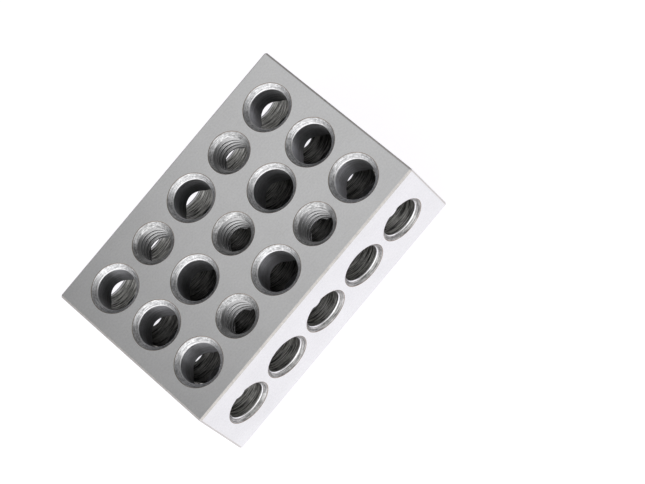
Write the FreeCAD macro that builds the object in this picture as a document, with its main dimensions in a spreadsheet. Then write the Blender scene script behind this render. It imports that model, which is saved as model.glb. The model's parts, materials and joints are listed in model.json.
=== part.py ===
import FreeCAD, Part
import Sketcher
import os

# Machinist's setup block, 1 x 2 x 3 inch: one bar of hardened steel, ground square on all six
# faces and drilled through in three directions.  It lies on one of its 2 x 3 inch faces.
#
#   X  along the 3 inch edge, five columns of bores
#   Y  along the 2 inch edge, three rows of bores
#   Z  up through the 1 inch thickness
#
# The origin is the middle of the resting face.  Every bore's axis runs through the same grid of
# 5 x 3 points at half thickness, so the bores meet three at a time inside the block.  Five of
# the fifteen upright bores are tapping holes for a 3/8-16 thread; the thread itself isn't cut.

COLUMNS = range(-2, 3)
ROWS = range(-1, 2)
# The five tapped places, as (column, row): one in the middle and four around it.
TAPPED = [(0, 0), (-1, -1), (1, -1), (-1, 1), (1, 1)]
PLAIN = [(c, r) for c in COLUMNS for r in ROWS if (c, r) not in TAPPED]

doc = FreeCAD.newDocument("setup_block")

# ---------------------------------------------------------------- driving dimensions

SIZES = [
    ("block_length", 76.2, "3 inch edge, along X"),
    ("block_width", 50.8, "2 inch edge, along Y"),
    ("block_thickness", 25.4, "1 inch edge, along Z"),
    ("edge_break", 0.45, "flat ground along all twelve edges"),
    ("column_pitch", 14.0, "between columns of bores, along X"),
    ("row_pitch", 15.0, "between rows of bores, along Y"),
    ("cross_height", 12.7, "height of the side and end bores above the resting face"),
    ("face_bore", 10.0, "plain bore through the thickness"),
    ("face_mouth", 12.5, "its countersink, across the mouth"),
    ("tap_drill", 7.94, "5/16 inch bore for the 3/8-16 thread"),
    ("tap_mouth", 10.9, "its countersink, across the mouth"),
    ("side_bore", 10.0, "plain bore through the width"),
    ("side_mouth", 12.1, "its countersink, across the mouth"),
    ("end_bore", 10.0, "plain bore through the length"),
    ("end_mouth", 12.1, "its countersink, across the mouth"),
    ("sink_angle", 90.0, "point angle of every countersink, in degrees"),
]


def write_sheet():
    """The sheet of driving dimensions: one aliased cell to each row of SIZES."""
    sheet = doc.addObject("Spreadsheet::Sheet", "Sizes")
    for row, (alias, value, meaning) in enumerate(SIZES, start=1):
        sheet.set("A%d" % row, alias)
        sheet.set("B%d" % row, str(value))
        sheet.set("C%d" % row, meaning)
        sheet.setAlias("B%d" % row, alias)
    doc.recompute()
    return sheet


sheet = write_sheet()

# ---------------------------------------------------------------- sketches


def new_sketch(body, name, plane):
    """An empty sketch on one of the body's own origin planes."""
    sketch = body.newObject("Sketcher::SketchObject", name)
    flat = [f for f in body.Origin.OriginFeatures if f.Role == plane][0]
    sketch.AttachmentSupport = (flat, [""])
    sketch.MapMode = "FlatFace"
    return sketch


def bind(sketch, kind, refs, name, expression):
    """Adds one named constraint whose value follows an expression on the sheet."""
    value = sketch.evalExpression(expression)
    index = sketch.addConstraint(Sketcher.Constraint(kind, *refs, value))
    sketch.renameConstraint(index, name)
    sketch.setExpression("Constraints." + name, expression)


def outline_sketch(body):
    """The block's 3 x 2 inch outline, centred on the origin."""
    sketch = new_sketch(body, "Outline", "XY_Plane")
    half_length = sheet.block_length / 2
    half_width = sheet.block_width / 2
    corners = [(-half_length, -half_width), (half_length, -half_width),
               (half_length, half_width), (-half_length, half_width)]
    points = [FreeCAD.Vector(x, y, 0) for x, y in corners]
    for start, end in zip(points, points[1:] + points[:1]):
        sketch.addGeometry(Part.LineSegment(start, end), False)
    for side in range(4):
        sketch.addConstraint(Sketcher.Constraint("Coincident", side, 2, (side + 1) % 4, 1))
    for side, kind in enumerate(["Horizontal", "Vertical", "Horizontal", "Vertical"]):
        sketch.addConstraint(Sketcher.Constraint(kind, side))
    sketch.addConstraint(Sketcher.Constraint("Symmetric", 0, 1, 2, 1, -1, 1))
    bind(sketch, "DistanceX", (0, 1, 0, 2), "length", "Sizes.block_length")
    bind(sketch, "DistanceY", (1, 1, 1, 2), "width", "Sizes.block_width")
    return sketch


def centres_sketch(body, name, plane, face, centres, bore):
    """One circle to each bore of a family, in the face that is drilled.

    face is that face's place along the plane's normal.  The centres are pairs of expressions,
    and all the circles share one diameter.
    """
    sketch = new_sketch(body, name, plane)
    sketch.setExpression(".AttachmentOffset.Base.z", face)
    radius = sketch.evalExpression("Sizes." + bore) / 2
    for number, (across, along) in enumerate(centres):
        centre = FreeCAD.Vector(sketch.evalExpression(across), sketch.evalExpression(along), 0)
        sketch.addGeometry(Part.Circle(centre, FreeCAD.Vector(0, 0, 1), radius), False)
        bind(sketch, "DistanceX", (-1, 1, number, 3), "across_%d" % number, across)
        bind(sketch, "DistanceY", (-1, 1, number, 3), "along_%d" % number, along)
        if number:
            sketch.addConstraint(Sketcher.Constraint("Equal", 0, number))
    bind(sketch, "Diameter", (0,), "diameter", "Sizes." + bore)
    return sketch


# ---------------------------------------------------------------- features


def ground_bar(body):
    """The plain bar, with the flat ground along its twelve edges before it is drilled."""
    bar = body.newObject("PartDesign::Pad", "GroundBar")
    bar.Profile = outline_sketch(body)
    bar.setExpression("Length", "Sizes.block_thickness")
    doc.recompute()
    flats = body.newObject("PartDesign::Chamfer", "EdgeBreak")
    flats.Base = (bar, ["Edge%d" % number for number in range(1, len(bar.Shape.Edges) + 1)])
    flats.setExpression("Size", "Sizes.edge_break")
    doc.recompute()
    if body.Shape.Volume >= bar.Shape.Volume:
        raise RuntimeError("EdgeBreak cut nothing")


def drill(body, name, plane, face, upward, centres, bore, mouth):
    """Countersunk bores of one size, sunk through the block from one face.

    A hole runs against its plane's normal, or along it where upward is true.
    """
    sketch = centres_sketch(body, name + "Centres", plane, face, centres, bore)
    doc.recompute()
    before = body.Shape.Volume
    hole = body.newObject("PartDesign::Hole", name)
    hole.Profile = sketch
    hole.Reversed = upward
    hole.ThreadType = "None"
    hole.DepthType = "ThroughAll"
    hole.HoleCutType = "Countersink"
    hole.HoleCutCustomValues = True
    hole.setExpression("Diameter", "Sizes." + bore)
    hole.setExpression("HoleCutDiameter", "Sizes." + mouth)
    hole.setExpression("HoleCutCountersinkAngle", "Sizes.sink_angle")
    doc.recompute()
    if body.Shape.Volume >= before:
        raise RuntimeError(name + " cut nothing")


def drill_through(body, name, plane, upper, lower, centres, bore, mouth):
    """The same bores from both faces, so that both mouths are countersunk.

    upper and lower are the two faces' places along the plane's normal.
    """
    drill(body, name + "Upper", plane, upper, False, centres, bore, mouth)
    drill(body, name + "Lower", plane, lower, True, centres, bore, mouth)


# ---------------------------------------------------------------- the block

body = doc.addObject("PartDesign::Body", "SetupBlock")
body.Label = "setup_block"
ground_bar(body)

column_at = {c: "Sizes.column_pitch * %d" % c for c in COLUMNS}
row_at = {r: "Sizes.row_pitch * %d" % r for r in ROWS}
cross_at = "Sizes.cross_height"
half_width = "Sizes.block_width / 2"
half_length = "Sizes.block_length / 2"

drill_through(body, "PlainBores", "XY_Plane", "Sizes.block_thickness", "0 mm",
              [(column_at[c], row_at[r]) for c, r in PLAIN], "face_bore", "face_mouth")
drill_through(body, "TappedBores", "XY_Plane", "Sizes.block_thickness", "0 mm",
              [(column_at[c], row_at[r]) for c, r in TAPPED], "tap_drill", "tap_mouth")
drill_through(body, "SideBores", "XZ_Plane", half_width, "-" + half_width,
              [(column_at[c], cross_at) for c in COLUMNS], "side_bore", "side_mouth")
drill_through(body, "EndBores", "YZ_Plane", half_length, "-" + half_length,
              [(row_at[r], cross_at) for r in ROWS], "end_bore", "end_mouth")

# ---------------------------------------------------------------- checks and files

for thing in doc.Objects:
    if "Invalid" in thing.State or "Error" in thing.State:
        raise RuntimeError("%s failed: %s" % (thing.Label, thing.State))

shape = body.Shape
if shape.isNull() or not shape.isValid() or len(shape.Solids) != 1:
    raise RuntimeError("the block is not one valid solid")

os.makedirs("parts", exist_ok=True)
shape.exportStep("parts/%s.step" % body.Label)
print("%s: %d faces, %.0f cubic millimetres" % (body.Label, len(shape.Faces), shape.Volume))
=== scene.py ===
# %% [markdown]
# # A machinist's setup block
#
# A setup block is a small bar of hardened steel, ground square on all six faces, with a grid of
# countersunk holes drilled through it in three directions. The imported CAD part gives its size
# and the place of every hole. This lesson cuts the same block again as a finely divided mesh,
# with real threads in the tapped holes, and gives each kind of surface the finish its tool left.

# %% Load the frame
import json
import math

import bmesh
import bpy
import numpy as np
from mathutils import Matrix, Vector


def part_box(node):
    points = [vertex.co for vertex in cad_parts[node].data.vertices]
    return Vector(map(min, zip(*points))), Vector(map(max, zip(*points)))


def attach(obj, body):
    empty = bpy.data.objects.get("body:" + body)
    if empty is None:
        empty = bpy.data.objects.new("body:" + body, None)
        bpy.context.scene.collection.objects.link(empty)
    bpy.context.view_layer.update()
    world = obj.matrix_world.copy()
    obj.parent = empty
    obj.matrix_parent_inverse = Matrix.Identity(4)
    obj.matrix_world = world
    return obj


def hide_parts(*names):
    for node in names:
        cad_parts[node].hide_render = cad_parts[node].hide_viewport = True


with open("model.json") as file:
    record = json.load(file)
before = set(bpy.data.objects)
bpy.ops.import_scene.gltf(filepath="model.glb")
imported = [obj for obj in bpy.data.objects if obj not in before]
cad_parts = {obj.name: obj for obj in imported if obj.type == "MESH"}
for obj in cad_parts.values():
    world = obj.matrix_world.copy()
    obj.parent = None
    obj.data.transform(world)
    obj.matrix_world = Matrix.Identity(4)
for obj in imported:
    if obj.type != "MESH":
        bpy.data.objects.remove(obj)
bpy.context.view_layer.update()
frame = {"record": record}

MM = 0.001
SAME = 0.001 * MM        # points closer than this are one point
NODE = "setup_block"
low, high = (np.array(corner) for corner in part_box(NODE))
middle = (low + high) / 2
half = (high - low) / 2
print("block, mm:", np.round((high - low) / MM, 2))

# %% [markdown]
# ## Where the holes are
#
# The record names every hole as a mount, with a point on its axis, its direction, its radius and
# the length of its wall. What the wall leaves of the block at each end is the countersink, and a
# 90 degree countersink is as wide, all round, as it is deep. So no hole has to be typed twice.

# %% Read the holes from the record
def read_holes(record):
    """Each hole as a dict: its axis number, its middle, and its bore and countersink radii."""
    found = []
    for mount in record["mounts"]:
        if mount["kind"] not in ("bore", "threaded_hole"):
            continue
        axis = int(np.argmax(np.abs(mount["axis"])))
        centre = np.array(mount["pos_m"], float)
        centre[axis] = middle[axis]
        radius = mount["dims"]["r_mm"] * MM
        sink = half[axis] - mount["dims"]["length_mm"] * MM / 2
        found.append({"name": mount["name"], "axis": axis, "centre": centre, "radius": radius,
                      "mouth": radius + sink, "tapped": mount["kind"] == "threaded_hole"})
    return found


holes = read_holes(frame["record"])
for axis, direction in enumerate(["length", "width", "thickness"]):
    through = [hole for hole in holes if hole["axis"] == axis]
    print(len(through), "holes through the", direction + ",",
          sum(hole["tapped"] for hole in through), "of them tapped")

# %% [markdown]
# ## Surfaces that remember their tool
#
# Every surface here is a grid of points worked out with numpy. Beside its points, it carries two
# things at every corner of every face. `place` says where the corner lies as its cutting tool
# saw it, in millimetres, so that a grinding line or a drill ring follows the tool and not the
# room. `smooth` is the true normal, so that a bore shades as a round and not as the flats it is
# made of. A boolean cut hands both on to the faces that it makes, where a UV map drawn afterwards
# could only guess at them.

# %% A mesh that carries its place, its normals and its kind of finish
FINISHES = ["ground_face", "rubbed_edge", "bright_lip", "dark_rim", "countersink", "tapped_countersink",
            "side_countersink", "drilled_bore", "ringed_bore", "cut_thread"]
KIND = {name: number for number, name in enumerate(FINISHES)}
SPACING = 100.0   # between one surface's place and the next one's, so that no two match, mm


def mark(mesh, place, smooth, kinds):
    """Puts place and smooth on a mesh, a vector to each corner, and kind, a number to each face."""
    for name, values in (("place", place), ("smooth", smooth)):
        layer = mesh.attributes.new(name, "FLOAT_VECTOR", "CORNER")
        layer.data.foreach_set("vector", np.asarray(values, np.float32).ravel())
    layer = mesh.attributes.new("kind", "INT", "FACE")
    layer.data.foreach_set("value", np.asarray(kinds, np.int32).ravel())


def read(items, name, width=1, kind=float):
    """One property of every item as an array, with a row to each item where it has a width."""
    values = np.zeros(len(items) * width, kind)
    items.foreach_get(name, values)
    return values.reshape(-1, width) if width > 1 else values


def show(name, mesh):
    """An object for a mesh, in the scene, sitting at the origin."""
    thing = bpy.data.objects.new(name, mesh)
    bpy.context.scene.collection.objects.link(thing)
    return thing


# %% [markdown]
# ## The ground bar
#
# The real bar is sawn, hardened and ground, and its twelve edges are broken with a stone. A cube
# with a Bevel modifier would do, but a profile carried along the bar is as short and shows where
# each face comes from: an oblong with its corners cut, drawn at four stations. At the two ends
# the same outline is clipped to the smaller end face, which folds its cut corners to points.

# %% The bar: one profile at four stations along its length
EDGE_BREAK = 0.45 * MM


def bar_outline():
    """Eight points, counter-clockwise: an oblong of the bar's width and thickness, corners cut."""
    wide, tall = half[1], half[2]
    corner = np.array([(wide, tall - EDGE_BREAK), (wide - EDGE_BREAK, tall)])
    return np.concatenate([corner, corner[::-1] * (-1, 1), -corner, corner[::-1] * (1, -1)])


def bar_mesh():
    """The outline at both ends and at an edge break from them, the end ones clipped to the end face."""
    outline = bar_outline()
    end = np.clip(outline, -half[1:] + EDGE_BREAK, half[1:] - EDGE_BREAK)
    stations = np.array([-half[0], -half[0] + EDGE_BREAK, half[0] - EDGE_BREAK, half[0]])
    rings = np.stack([end, outline, outline, end])
    along = np.broadcast_to(stations[:, None, None], rings.shape[:2] + (1,))
    points = np.concatenate([along, rings], axis=2) + middle
    count = len(outline)
    corners = np.arange(count)
    index = np.arange(len(stations) * count).reshape(-1, count)
    ahead = np.roll(index, -1, axis=1)
    sides = np.stack([index[:-1], ahead[:-1], ahead[1:], index[1:]], axis=2).reshape(-1, 4)
    faces = sides.tolist() + [index[0, ::-1].tolist(), index[-1].tolist()]
    mesh = bpy.data.meshes.new("ground_bar")
    mesh.from_pydata(points.reshape(-1, 3).tolist(), [], faces)
    work = bmesh.new()
    work.from_mesh(mesh)
    bmesh.ops.remove_doubles(work, verts=work.verts, dist=SAME)
    bmesh.ops.recalc_face_normals(work, faces=work.faces)
    work.to_mesh(mesh)
    work.free()
    return mesh


SQUARE_ON = 0.9          # how far along one direction the normal of a flat face reaches, at the least


def mark_flats(mesh):
    """Place on a flat face: x along the grinding, which follows its longest way, and y across it."""
    normals = read(mesh.polygons, "normal", 3)
    total = read(mesh.polygons, "loop_total", 1, np.int32)
    face = np.repeat(np.arange(len(total)), total)
    corner = read(mesh.vertices, "co", 3)[read(mesh.loops, "vertex_index", 1, np.int32)] / MM
    order = np.argsort(np.abs(normals).round(3), axis=1, kind="stable")[face]
    place = np.take_along_axis(corner, order, 1)
    place[:, 2] = face * SPACING
    kinds = np.where(np.abs(normals).max(1) > SQUARE_ON, KIND["ground_face"], KIND["rubbed_edge"])
    mark(mesh, place, normals[face], kinds)


bar = bar_mesh()
mark_flats(bar)
block = show("ground_block", bar)
print("bar:", len(bar.polygons), "faces")

# %% [markdown]
# ## One surface for drill, countersink and tap
#
# On the real block a drill goes through, a countersinking bit opens both mouths, and in five
# holes a tap cuts the thread. All three are turned shapes: a profile of radius against depth,
# carried round an axis. A thread is the same with one thing added, that the profile climbs by
# one pitch in each turn. So one function makes every tool, and the tools are then subtracted.
# The profile is a list of rows, each a radius, a depth and the tilt of the surface there.

# %% A tool: a profile carried round the hole's axis
def turn_to_axis(local, axis):
    """Points or directions with their third number along the tool, turned to the hole's direction."""
    world = np.empty_like(local)
    world[..., (axis + 1) % 3] = local[..., 0]
    world[..., (axis + 2) % 3] = local[..., 1]
    world[..., axis] = local[..., 2]
    return world


def end_cap(index, edge, step, pole):
    """Triangles from a pole on the axis to an end row, and down the step that a climbing row leaves."""
    rim = np.concatenate([index[edge], step])
    return np.stack([rim[:-1], rim[1:], np.full(len(rim) - 1, pole)], 1)


def cutting_tool(hole, number, rows, kinds, sides, climb=0.0, rows_per_turn=0):
    """A closed mesh: (r cos a, r sin a, depth + climb * a / turn), with a from 0 to a whole turn.

    A turn on, the profile meets itself rows_per_turn further up, so those corners are the same
    ones. The normal at tilt t is (-cos t cos a, -cos t sin a, sin t): 0 is a wall, 90 degrees a
    face that looks up.
    """
    radius, depth, tilt = (column[:, None] for column in np.array(rows).T)
    turn = np.arange(sides + 1)[None, :] / sides
    angle = 2 * math.pi * turn
    level = depth + climb * turn
    points = np.stack([radius * np.cos(angle), radius * np.sin(angle), level], 2)
    normals = np.stack([-np.cos(tilt) * np.cos(angle), -np.cos(tilt) * np.sin(angle),
                        np.sin(tilt) + 0 * angle], 2)
    count, width = level.shape
    corner = np.arange(count * width).reshape(count, width)
    index = corner.copy()
    index[:count - rows_per_turn, -1] = index[rows_per_turn:, 0]

    def around(grid):
        return np.stack([grid[:-1, :-1], grid[:-1, 1:], grid[1:, 1:], grid[1:, :-1]], 2).reshape(-1, 4)

    quads, quad_corners = around(index), around(corner)
    poles = np.array([[0, 0, level.min() - climb], [0, 0, level.max() + climb]])
    below, above = corner.size, corner.size + 1
    floor = end_cap(index, 0, index[rows_per_turn::-1, 0][1:], below)[:, ::-1]
    roof = end_cap(index, -1, index[count - 1 - rows_per_turn:count - 1, -1][::-1], above)
    caps = np.concatenate([floor, roof])
    local = np.concatenate([points.reshape(-1, 3), poles])
    directions = np.concatenate([normals.reshape(-1, 3), [[0, 0, -1], [0, 0, 1]]])

    used, faces = np.unique(np.concatenate([quads.ravel(), caps.ravel()]), return_inverse=True)
    world = hole["centre"] + turn_to_axis(local[used], hole["axis"])
    split = quads.size
    mesh = bpy.data.meshes.new(hole["name"])
    mesh.from_pydata(world.tolist(), [],
                     faces[:split].reshape(-1, 4).tolist() + faces[split:].reshape(-1, 3).tolist())
    corners = np.concatenate([quad_corners.ravel(), caps.ravel()])
    place = local[corners] / MM + (0, 0, number * SPACING)
    strips = np.repeat(kinds, sides)
    kind = np.concatenate([strips, np.full(len(caps), strips[0])])
    mark(mesh, place, turn_to_axis(directions[corners], hole["axis"]), kind)
    return mesh


# %% [markdown]
# ## Drills and countersinks
#
# On the real block both ends of a countersink have lost their razor edge. The rim, where the cone
# meets the ground face, is a dark brown line. Every bolt rubs the foot bright, where it meets the
# bore, and its colour is brighter still as a painted highlight. A Bevel modifier after the cuts
# would round them too, but it would also catch every edge where two bores cross. So each is a
# hair-thin step in the tool's own profile. The tilt changes only across those steps, so cone and
# wall stay straight and the steps shade as rounded edges.

# %% The profile of a drill with its countersinks
BEYOND = 1.0 * MM        # how far a tool stands out of the block
RIM = 0.07 * MM          # half the width of the step at the ground face
FOOT = 0.10 * MM         # half the width of the step at the bore
LIP = 0.12 * MM          # how far up the cone the foot is rubbed bright
AROUND = 96              # sides to a round; a multiple of 8, so that crossing bores meet cleanly
RELIEF = 0.3 * MM        # how much narrower the drill is where a tap follows it
QUARTER, EIGHTH = math.pi / 2, math.pi / 4


def mirrored(upper):
    """Rows of an upper half, going up, with the same rows below, upside down."""
    return [(radius, -depth, -tilt) for radius, depth, tilt in reversed(upper)] + upper


def drill_rows(hole):
    """From the middle up: wall, foot, lip, 45 degree cone, rim, and a flare that clears the face."""
    top = half[hole["axis"]]
    wall = hole["radius"] - (RELIEF if hole["tapped"] else 0)
    mouth = hole["mouth"]
    foot = top - (mouth - wall)
    return mirrored([(wall, foot - FOOT, 0), (wall + FOOT, foot + FOOT, EIGHTH),
                     (wall + FOOT + LIP, foot + FOOT + LIP, EIGHTH),
                     (mouth - RIM, top - RIM, EIGHTH), (mouth + RIM, top, QUARTER),
                     (mouth + RIM + 2 * BEYOND, top + BEYOND, QUARTER)])


def drill(hole, number):
    """The turned tool of a hole, its strips named from the lower mouth up to the upper one."""
    across_the_face = hole["axis"] == 2
    plain = "tapped_countersink" if hole["tapped"] else "countersink"
    cone = plain if across_the_face else "side_countersink"
    wall = "drilled_bore" if across_the_face else "ringed_bore"
    mouth = [cone, "dark_rim", cone, "bright_lip", "bright_lip"]
    kinds = [KIND[name] for name in mouth + [wall] + mouth[::-1]]
    return cutting_tool(hole, number, drill_rows(hole), kinds, AROUND)


tools = [drill(hole, number) for number, hole in enumerate(holes)]
print("drills:", len(tools), "with", len(tools[0].polygons), "faces each")

# %% [markdown]
# ## Taps
#
# The five tapped holes are three-eighths of an inch, sixteen threads to the inch. A thread could
# be a bump in the material, but light comes down these holes and catches every turn, so the
# thread is cut. The tap's profile is one pitch long, repeated: a narrow flat at the full width,
# flanks at 60 degrees to each other, and a gap the width of the drilled hole. The upper flanks
# face the light and look bright. The wall of the drilled hole, which is left between the turns,
# faces across the hole and looks dark. Their corners are rubbed bright, and their colour is
# brighter still as a painted highlight.

# %% The profile of a tap
INCH = 25.4 * MM
PITCH = INCH / 16
MAJOR = 3 / 8 * INCH / 2     # the radius to the bottom of the thread
FLANK = math.radians(60)     # the tilt of a flank from the hole's wall
ROOT_FLAT = 1 / 8            # the flat at the bottom of the thread, in pitches
ROUND_TAP = 72               # sides to a turn of thread
SOFTEN = 0.035               # the eased width of a thread's corner, in pitches


def thread_rows(hole):
    """One pitch of (radius, depth, tilt) repeated: crest, flank out, root, flank in."""
    rise = math.tan(FLANK) * PITCH
    root = (1 - ROOT_FLAT) / 2
    crest = root - (MAJOR - hole["radius"]) / rise
    ease = rise * SOFTEN / 2
    out = [(hole["radius"], crest - SOFTEN, 0), (hole["radius"] + ease, crest + SOFTEN / 2, FLANK),
           (MAJOR - ease, root - SOFTEN / 2, FLANK), (MAJOR, root + SOFTEN, 0)]
    back = [(radius, 1 - share, -tilt) for radius, share, tilt in reversed(out)]
    start = -half[hole["axis"]] - PITCH - BEYOND
    turns = math.ceil((half[hole["axis"]] + BEYOND - start) / PITCH)
    return [(radius, start + (turn + share) * PITCH, tilt)
            for turn in range(turns) for radius, share, tilt in out + back]


def tap(hole, number):
    """The thread of a hole, a right-handed screw of the tap's profile."""
    rows = thread_rows(hole)
    one_pitch = ["bright_lip"] + ["cut_thread"] * 5 + ["bright_lip", "drilled_bore"]
    kinds = [KIND[name] for name in one_pitch] * (len(rows) // len(one_pitch))
    return cutting_tool(hole, number, rows, kinds[:len(rows) - 1], ROUND_TAP, PITCH, len(one_pitch))


taps = [tap(hole, number) for number, hole in enumerate(holes) if hole["tapped"]]
print("taps:", len(taps), "with", len(taps[0].polygons), "faces each")

# %% [markdown]
# ## Cutting
#
# Drilling is a subtraction, and the Boolean modifier's Manifold solver does it quickly and keeps
# the marks. Each tool gets one modifier. The result is then taken as a plain mesh, and points
# closer than a thousandth of a millimetre, which the crossing bores leave, are merged.

# %% Cut every hole
def cut(piece, tool_meshes):
    """Subtracts every tool from a piece and returns the result as a new mesh."""
    tool_objects = [show(mesh.name, mesh) for mesh in tool_meshes]
    for tool in tool_objects:
        modifier = piece.modifiers.new(tool.name, "BOOLEAN")
        modifier.operation = "DIFFERENCE"
        modifier.solver = "MANIFOLD"
        modifier.object = tool
    evaluated = piece.evaluated_get(bpy.context.evaluated_depsgraph_get())
    mesh = bpy.data.meshes.new_from_object(evaluated)
    for tool in tool_objects:
        bpy.data.objects.remove(tool)
    piece.modifiers.clear()
    return mesh


def tidy(mesh):
    """Merges doubled points, and returns the volume and how many edges don't join two faces."""
    work = bmesh.new()
    work.from_mesh(mesh)
    bmesh.ops.remove_doubles(work, verts=work.verts, dist=SAME)
    bmesh.ops.dissolve_degenerate(work, edges=work.edges, dist=SAME)
    loose = [edge for edge in work.edges if len(edge.link_faces) != 2]
    volume = work.calc_volume()
    work.to_mesh(mesh)
    work.free()
    return volume, len(loose)


block.data = cut(block, tools + taps)
volume, open_edges = tidy(block.data)
block.data.calc_loop_triangles()
print("volume, mm3:", round(volume / MM**3), "open edges:", open_edges,
      "triangles:", len(block.data.loop_triangles))

# %% [markdown]
# ## Normals and finishes from the marks
#
# The cut mesh still carries its marks. `smooth` becomes the custom normals, and the share of them
# that lies on the outer side of its face is printed. Shade Smooth by angle would need no marks,
# but it guesses at the normals of long thin triangles and leaves stains where bores cross. `kind`
# becomes the material of each face. Both are then deleted, and `place` stays for the materials.

# %% Turn the marks into normals and material slots
def take(mesh, name, prop, width, kind):
    """Reads a mark off a mesh and deletes it."""
    layer = mesh.attributes[name]
    values = read(layer.data, prop, width, kind)
    mesh.attributes.remove(mesh.attributes[name])
    return values


def finish_surface(mesh):
    """Sets the custom normals and the material of every face."""
    smooth = take(mesh, "smooth", "vector", 3, float)
    kinds = take(mesh, "kind", "value", 1, np.int32)
    smooth /= np.linalg.norm(smooth, axis=1)[:, None]
    face = np.repeat(np.arange(len(mesh.polygons)), read(mesh.polygons, "loop_total", 1, np.int32))
    agree = (smooth * read(mesh.polygons, "normal", 3)[face]).sum(1)
    mesh.materials.clear()
    mesh.polygons.foreach_set("use_smooth", np.ones(len(mesh.polygons), bool))
    mesh.polygons.foreach_set("material_index", kinds)
    mesh.normals_split_custom_set(smooth.tolist())
    mesh.update()
    return agree


agreement = finish_surface(block.data)
print("normals on the outer side:", (agreement > 0).mean().round(5))

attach(block, "root")
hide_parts(NODE)

# %% [markdown]
# ## Tools for materials
#
# A node tree is quicker to read as text when one line makes a node, sets it and wires it. An
# input that is a socket is linked, and any other is a plain value.

# %% Helpers for node trees
def add(tree, kind, inputs=None, **settings):
    """A new node, with its settings and inputs; inputs maps a socket to a value or an output."""
    node = tree.nodes.new(kind)
    for name, value in settings.items():
        setattr(node, name, value)
    for socket, value in (inputs or {}).items():
        if isinstance(value, bpy.types.NodeSocket):
            tree.links.new(value, node.inputs[socket])
        else:
            node.inputs[socket].default_value = value
    return node


def maths(tree, operation, first, second=0.0, third=0.0):
    """The output of a Math node."""
    return add(tree, "ShaderNodeMath", {0: first, 1: second, 2: third}, operation=operation).outputs[0]


def vector_maths(tree, operation, first, second=(0, 0, 0)):
    """The output of a Vector Math node."""
    node = add(tree, "ShaderNodeVectorMath", {0: first, 1: second}, operation=operation)
    return node.outputs["Value" if operation == "DOT_PRODUCT" else "Vector"]


def smooth_range(tree, value, start, end, first, last):
    """A value eased from first to last while another one goes from start to end."""
    inputs = {"Value": value, "From Min": start, "From Max": end, "To Min": first, "To Max": last}
    return add(tree, "ShaderNodeMapRange", inputs, interpolation_type="SMOOTHSTEP").outputs["Result"]


def noise(tree, vector, detail=2.0, roughness=0.5):
    """The output of a Noise Texture at scale 1, from 0 to 1 and mostly near the middle."""
    inputs = {"Vector": vector, "Scale": 1.0, "Detail": detail, "Roughness": roughness}
    return add(tree, "ShaderNodeTexNoise", inputs).outputs["Fac"]


def group(name, inputs, outputs):
    """An empty node group with named sockets, and its input and output nodes."""
    tree = bpy.data.node_groups.new(name, "ShaderNodeTree")
    for socket, (kind, value) in inputs.items():
        made = tree.interface.new_socket(socket, in_out="INPUT", socket_type="NodeSocket" + kind)
        made.default_value = value
    for socket in outputs:
        tree.interface.new_socket(socket, in_out="OUTPUT", socket_type="NodeSocketFloat")
    return tree, tree.nodes.new("NodeGroupInput").outputs, tree.nodes.new("NodeGroupOutput").inputs


# %% [markdown]
# ## Streaks and mottling
#
# A grinding wheel, a drill and a countersinking bit leave the same kind of mark: fine lines,
# long the way the tool went and narrow across it. Noise stretched by a different amount along
# each part of `place` makes all of them. Mottling is plain noise in two sizes, for the cloudy
# patches and small flecks that hardened steel shows. Both are groups, so that each material
# only gives sizes in millimetres and strengths.

# %% The two shared effects
FAINT, FULL = 0.3, 0.7       # the noise that makes the lowest and the highest streak


def make_streaks():
    """Lines of a given size: height from 0 to 1, and a tone that swings about 1."""
    tree, given, result = group("streaks", {
        "Place": ("Vector", (0, 0, 0)), "Size": ("Vector", (1, 1, 1)), "Tone Strength": ("Float", 0.2),
    }, ["Height", "Tone"])
    soft = noise(tree, vector_maths(tree, "DIVIDE", given["Place"], given["Size"]), 3, 0.6)
    lines = smooth_range(tree, soft, FAINT, FULL, 0.0, 1.0)
    tree.links.new(lines, result["Height"])
    swing = maths(tree, "MULTIPLY", maths(tree, "SUBTRACT", lines, 0.5), given["Tone Strength"])
    tree.links.new(maths(tree, "ADD", swing, 1), result["Tone"])
    return tree


def make_mottling():
    """Patches and flecks: a tone that swings about 1, and its flecks alone as a height."""
    tree, given, result = group("mottling", {
        "Place": ("Vector", (0, 0, 0)), "Patch": ("Float", 8.0), "Fleck": ("Float", 0.4),
        "Patch Strength": ("Float", 0.2), "Fleck Strength": ("Float", 0.2),
    }, ["Height", "Tone"])
    tone = 1.0
    for size, strength, detail in (("Patch", "Patch Strength", 2), ("Fleck", "Fleck Strength", 3)):
        scale = maths(tree, "DIVIDE", 1.0, given[size])
        scaled = add(tree, "ShaderNodeVectorMath", {0: given["Place"], "Scale": scale}, operation="SCALE")
        spots = noise(tree, scaled.outputs["Vector"], detail)
        tone = maths(tree, "MULTIPLY_ADD", maths(tree, "SUBTRACT", spots, 0.5), given[strength], tone)
    tree.links.new(spots, result["Height"])
    tree.links.new(tone, result["Tone"])
    return tree


STREAKS, MOTTLING = make_streaks(), make_mottling()
print("shared effects:", STREAKS.name + ",", MOTTLING.name)


def effect(tree, effect_group, inputs):
    """The outputs of a group node in a material, set and wired."""
    return add(tree, "ShaderNodeGroup", inputs, node_tree=effect_group).outputs


# %% [markdown]
# ## Ten finishes of one steel
#
# All ten are the same bare metal, so they share one shader: a steel colour times a tone, a
# roughness, and a bump from the tool's lines. What differs is how the surface was cut, and in
# the holes a painted shade, which darkens the colour the deeper it lies in a hole. Ten separate
# node trees would do the same, but a table of recipes is shorter and easy to compare.

# %% The shared recipe, and the ten materials
def painted_depth_shade(tree, place, dark, shade_end, darkest):
    """Painted shade in a hole, a tone by distance from the hole's middle: darkest, then 1 past shade_end.
    """
    along = add(tree, "ShaderNodeSeparateXYZ", {0: place}).outputs["Z"]
    from_middle = maths(tree, "ABSOLUTE", maths(tree, "WRAP", along, SPACING / 2, -SPACING / 2))
    return smooth_range(tree, from_middle, dark, shade_end, darkest, 1.0)


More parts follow.
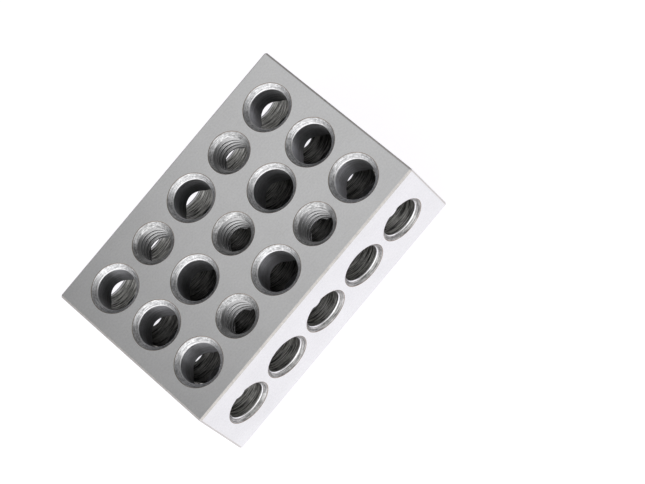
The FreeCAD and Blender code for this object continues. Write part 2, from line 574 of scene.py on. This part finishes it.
def steel(name, colour, roughness, patch, fleck, lines, bump, depth_shade=None):
    """A metal whose tone and bump come from mottling and streaks.

    patch, fleck: (size in mm, strength). lines: (size along each part of place in mm, strength).
    bump: the depth of the marks in mm. depth_shade, a painted shade deeper in a hole: the distance
    from the hole's middle up to which it is at its darkest, the distance at which it ends, both in
    mm, and its darkest tone.
    """
    material = bpy.data.materials.new(name)
    material.use_nodes = True
    tree = material.node_tree
    shader = tree.nodes["Principled BSDF"]
    place = add(tree, "ShaderNodeAttribute", attribute_name="place").outputs["Vector"]
    spots = effect(tree, MOTTLING, {"Place": place, "Patch": patch[0], "Patch Strength": patch[1],
                                    "Fleck": fleck[0], "Fleck Strength": fleck[1]})
    marks = effect(tree, STREAKS, {"Place": place, "Size": lines[0], "Tone Strength": lines[1]})
    tone = maths(tree, "MULTIPLY", spots["Tone"], marks["Tone"])
    # Painted shade: the colour darkens deeper in a hole.
    if depth_shade:
        tone = maths(tree, "MULTIPLY", tone, painted_depth_shade(tree, place, *depth_shade))
    base = add(tree, "ShaderNodeVectorMath", {0: colour, "Scale": tone}, operation="SCALE")
    height = maths(tree, "ADD", spots["Height"], marks["Height"])
    surface = add(tree, "ShaderNodeBump", {"Strength": 1.0, "Distance": bump * MM, "Height": height})
    tree.links.new(base.outputs["Vector"], shader.inputs["Base Color"])
    tree.links.new(surface.outputs["Normal"], shader.inputs["Normal"])
    shader.inputs["Metallic"].default_value = 1.0
    shader.inputs["Roughness"].default_value = roughness
    return material


RECIPES = {
    # The six flats, ground along their longest way.
    "ground_face": dict(colour=(0.85, 0.85, 0.855), roughness=0.36, patch=(9.0, 0.10),
                        fleck=(0.5, 0.22), lines=((6.0, 0.12, 1.0), 0.04), bump=0.002),
    # The twelve broken edges of the bar, dulled and slightly brown.
    "rubbed_edge": dict(colour=(0.62, 0.595, 0.57), roughness=0.36, patch=(5.0, 0.2),
                        fleck=(0.5, 0.5), lines=((2.0, 2.0, 1.0), 0.1), bump=0.002),
    # The feet of the countersinks and the corners of the thread, rubbed bright, and brighter
    # still as a painted highlight.
    "bright_lip": dict(colour=(0.96, 0.96, 0.97), roughness=0.32, patch=(5.0, 0.2),
                       fleck=(0.5, 0.3), lines=((2.0, 2.0, 1.0), 0.1), bump=0.002),
    # The line of old oil round each mouth.
    # A dark brown line round each mouth, where the cone meets the ground face.
    "dark_rim": dict(colour=(0.36, 0.30, 0.25), roughness=0.45, patch=(5.0, 0.8),
                      fleck=(0.6, 0.6), lines=((2.0, 2.0, 1.0), 0.1), bump=0.002),
    # The cones, brightest at the plain holes of the large faces and roughest at the sides, where
    # their darker colour is painted shade.
    "countersink": dict(colour=(0.68, 0.68, 0.69), roughness=0.36, patch=(2.0, 0.6),
                        fleck=(0.5, 1.1), lines=((1.6, 1.6, 0.12), 0.7), bump=0.015),
    "tapped_countersink": dict(colour=(0.60, 0.60, 0.605), roughness=0.36, patch=(2.0, 0.7),
                               fleck=(0.5, 1.2), lines=((1.6, 1.6, 0.13), 0.8), bump=0.02),
    "side_countersink": dict(colour=(0.40, 0.395, 0.39), roughness=0.44, patch=(2.5, 1.2),
                             fleck=(0.5, 1.0), lines=((3.0, 3.0, 0.16), 1.1), bump=0.02),
    # The walls: smooth through the thickness, ringed by a rougher drill along and across, where
    # their darker colour is painted shade.
    "drilled_bore": dict(colour=(0.66, 0.665, 0.69), roughness=0.48, patch=(4.0, 0.4),
                         fleck=(0.6, 0.4), lines=((6.0, 6.0, 0.25), 0.4), bump=0.01,
                         depth_shade=(7.0, 11.0, 0.6)),
    "ringed_bore": dict(colour=(0.42, 0.415, 0.40), roughness=0.42, patch=(4.0, 0.4),
                        fleck=(0.5, 0.7), lines=((5.0, 5.0, 0.26), 1.8), bump=0.05,
                        depth_shade=(14.0, 19.0, 0.4)),
    # The flanks and roots that the tap cut last.
    "cut_thread": dict(colour=(0.56, 0.56, 0.565), roughness=0.30, patch=(3.0, 0.5),
                       fleck=(0.5, 0.4), lines=((3.0, 3.0, 0.2), 0.2), bump=0.005,
                       depth_shade=(3.5, 9.5, 0.3)),
}
for name in FINISHES:
    block.data.materials.append(steel(name, **RECIPES[name]))
print("finishes:", ", ".join(FINISHES))

# %% [markdown]
# ## The table
#
# The block lies on a white table. More light would make a grey one white, but it would bleach
# the steel as well. So the table is white to the eye and to whatever mirrors it because of Light
# Path, and the steel keeps its own colour. Part of its white is a diffuse surface, which takes
# the block's soft shadow. Bare steel mirrors the table strongly, so mirrors see no glow where
# the block keeps the light off, and less of it behind the block, away from the windows.

# %% The floor
FLOOR_SIZE = 3.0
SEEN_GLOW = 0.93       # the part of the floor's white that no shadow touches
SEEN_PAINT = 0.25      # the part that takes the shadow
BACK_SHADE = 0.6       # how much less glow mirrors see on the table behind the block
PAINT = 0.8            # the table's own colour, which lights the block from below
UNDER_FADE = (0.9, 1.0)    # where the dark under the block fades, in halves of the block
BACK_FADE = (0.9, 1.4)     # where the shade behind it comes in, likewise
TABLE_WHITE = (1.0, 0.985, 1.03, 1)


def seen_share(tree):
    """1 for rays of the camera, of mirrors and of glass, and 0 for the rest."""
    light = tree.nodes.new("ShaderNodeLightPath").outputs
    mirrored_or_seen = maths(tree, "MAXIMUM", light["Is Camera Ray"], light["Is Glossy Ray"])
    return maths(tree, "MAXIMUM", mirrored_or_seen, light["Is Transmission Ray"])


def covered_share(tree):
    """1 on the table under the block, fading to 0 at its outline, and BACK_SHADE behind the block."""
    across = add(tree, "ShaderNodeVectorMath", {
        0: tree.nodes.new("ShaderNodeTexCoord").outputs["Object"], 1: (*half[:2], 1)}, operation="DIVIDE")
    sides = add(tree, "ShaderNodeSeparateXYZ", {0: vector_maths(tree, "ABSOLUTE", across.outputs[0])})
    furthest = maths(tree, "MAXIMUM", sides.outputs["X"], sides.outputs["Y"])
    under = smooth_range(tree, furthest, *UNDER_FADE, 1.0, 0.0)
    back = add(tree, "ShaderNodeSeparateXYZ", {0: across.outputs[0]}).outputs["Y"]
    return maths(tree, "MAXIMUM", under, smooth_range(tree, back, *BACK_FADE, 0.0, BACK_SHADE))


def floor_material():
    """A white paint with a glow, which mirrors don't see where the block keeps the light off."""
    material = bpy.data.materials.new("white_table")
    material.use_nodes = True
    tree = material.node_tree
    tree.nodes.remove(tree.nodes["Principled BSDF"])
    paint = add(tree, "ShaderNodeBsdfDiffuse", {"Color": (PAINT,) * 3 + (1,)})
    seen_paint = add(tree, "ShaderNodeBsdfDiffuse", {"Color": (SEEN_PAINT,) * 3 + (1,)})
    to_the_eye = tree.nodes.new("ShaderNodeLightPath").outputs["Is Camera Ray"]
    open_share = maths(tree, "SUBTRACT", 1.0, covered_share(tree))
    strength = maths(tree, "MULTIPLY", maths(tree, "MAXIMUM", open_share, to_the_eye), SEEN_GLOW)
    glow = add(tree, "ShaderNodeEmission", {"Color": TABLE_WHITE, "Strength": strength})
    seen = add(tree, "ShaderNodeAddShader", {0: seen_paint.outputs[0], 1: glow.outputs[0]})
    mixed = add(tree, "ShaderNodeMixShader", {0: seen_share(tree), 1: paint.outputs[0], 2: seen.outputs[0]})
    tree.links.new(mixed.outputs[0], tree.nodes["Material Output"].inputs["Surface"])
    return material


reach = FLOOR_SIZE / 2
floor_mesh = bpy.data.meshes.new("table")
floor_mesh.from_pydata([(-reach, -reach, low[2]), (reach, -reach, low[2]), (reach, reach, low[2]),
                        (-reach, reach, low[2])], [], [(0, 1, 2, 3)])
floor_mesh.materials.append(floor_material())
show("table", floor_mesh)
print("table, m:", FLOOR_SIZE, "square, top at", low[2])

# %% [markdown]
# ## The room
#
# Bare steel has hardly a colour of its own: it looks like the room round it. A plain white world
# would make every face the same, and a built room would be many pieces for a few soft
# reflections. So the world is a gradient, bright on the window side, dim on the other and
# darkest overhead, and it is white where the eye sees it directly.

# %% The world
WINDOW_WAY = (-0.72, -0.69, 0.0)     # the way to the windows
CEILING_WAY = (0.35, 0.10, 0.93)     # the way to the darkest part of the ceiling
WALL_FADE = (-0.5, 0.9)              # how far round to the windows the walls brighten
CEILING_FADE = (0.6, 0.85)           # how far up to its darkest part the ceiling darkens
DIM_SIDE, BRIGHT_SIDE, CEILING = 0.22, 1.3, 0.06


def room():
    """White to the eye; to everything else a soft gradient across the room and up it."""
    world = bpy.data.worlds.new("white_room")
    world.use_nodes = True
    tree = world.node_tree
    direction = tree.nodes.new("ShaderNodeTexCoord").outputs["Generated"]
    window = vector_maths(tree, "DOT_PRODUCT", direction, WINDOW_WAY)
    walls = smooth_range(tree, window, *WALL_FADE, DIM_SIDE, BRIGHT_SIDE)
    overhead = vector_maths(tree, "DOT_PRODUCT", direction, CEILING_WAY)
    upward = smooth_range(tree, overhead, *CEILING_FADE, 0.0, 1.0)
    light = add(tree, "ShaderNodeMix", {"Factor": upward, "A": walls, "B": CEILING}).outputs["Result"]
    seen = tree.nodes.new("ShaderNodeLightPath").outputs["Is Camera Ray"]
    strength = add(tree, "ShaderNodeMix", {"Factor": seen, "A": light, "B": 1.0}).outputs["Result"]
    backdrop = tree.nodes["Background"].inputs
    backdrop["Color"].default_value = (1, 1, 1, 1)
    tree.links.new(strength, backdrop["Strength"])
    return world


bpy.context.scene.world = room()
print("world:", bpy.context.scene.world.name)

# %% [markdown]
# ## The panel
#
# The large face lies level, so what it mirrors is a patch of ceiling behind the block. One soft
# panel hangs there, off to one side of the patch, so that past its edge the face darkens towards
# one corner. A sun or a point lamp would show as a hard spot instead.

# %% A soft panel of light
def panel(name, place, yaw, size, radiance):
    """A level rectangle of light that shines down; its power is pi * area * radiance."""
    data = bpy.data.lights.new(name, "AREA")
    data.shape = "RECTANGLE"
    data.size, data.size_y = size
    data.energy = math.pi * size[0] * size[1] * radiance
    lamp = bpy.data.objects.new(name, data)
    bpy.context.scene.collection.objects.link(lamp)
    lamp.location = place
    lamp.rotation_euler = (0, 0, yaw)
    print(name, "power, W:", round(data.energy, 4))


panel("ceiling_panel", place=(0.058, 0.143, 0.275), yaw=math.radians(50), size=(0.22, 0.17), radiance=0.66)

# %% [markdown]
# ## Camera and view
#
# The camera looks down on the block from in front, through a long lens, and is rolled so that
# the block lies across the corner of the view. A Track To constraint would aim it, but it keeps
# the horizon level, so the three axes are worked out here. Azimuth goes round from the -Y side,
# elevation goes up from the horizon, and roll turns the view about its own line.

# %% The camera
LENS = 173.0                          # mm, on a 36 mm wide sensor
AZIMUTH, ELEVATION, ROLL = (math.radians(a) for a in (-1.0, 61.9, 49.1))
AIM = Vector((12.0, -12.9, 12.7)) * MM
DISTANCE = 0.733


def make_camera():
    """A camera DISTANCE from AIM: its back, up and right axes are the columns of its matrix."""
    back = Vector((math.sin(AZIMUTH) * math.cos(ELEVATION), -math.cos(AZIMUTH) * math.cos(ELEVATION),
                   math.sin(ELEVATION)))
    level = (-back).cross(Vector((0, 0, 1))).normalized()
    upright = level.cross(-back)
    up = math.cos(ROLL) * upright + math.sin(ROLL) * level
    right = up.cross(back)
    data = bpy.data.cameras.new("camera")
    data.lens = LENS
    camera = bpy.data.objects.new("camera", data)
    bpy.context.scene.collection.objects.link(camera)
    turn = Matrix((right, up, back)).transposed()
    camera.matrix_world = Matrix.Translation(AIM + back * DISTANCE) @ turn.to_4x4()
    return camera


bpy.context.scene.camera = make_camera()
print("camera at, m:", [round(part, 3) for part in bpy.context.scene.camera.matrix_world.translation])
bpy.context.scene.view_settings.view_transform = "Standard"
